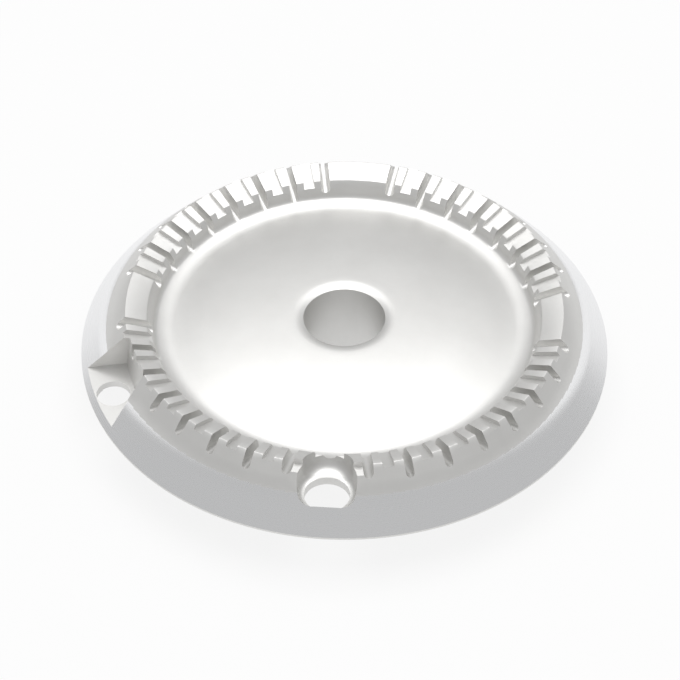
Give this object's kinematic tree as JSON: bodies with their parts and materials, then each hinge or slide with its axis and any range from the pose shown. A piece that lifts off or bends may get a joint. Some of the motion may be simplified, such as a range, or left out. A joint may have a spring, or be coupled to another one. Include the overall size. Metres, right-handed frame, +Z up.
{
  "type": "gas burner crown",
  "caption": "Round die-cast burner crown: slotted flame ring on a bevelled flange, crowned floor with a central mixing tube, and holes for an electrode and a flame sensor.",
  "frame": {"origin": "on the axis of the mixing tube, at the tube's lower end, which is also the lowest point", "axes": "+Z up along the mixing tube, -Y towards the electrode hole at the front, +X to the right as the picture shows it"},
  "size_m": [0.1, 0.1, 0.0197],
  "materials": {
    "cast_aluminium": "satin blasted casting with a bright turned bevel"
  },
  "bodies": {
    "root": {"burner_crown": "cast_aluminium"}
  },
  "joints": []
}
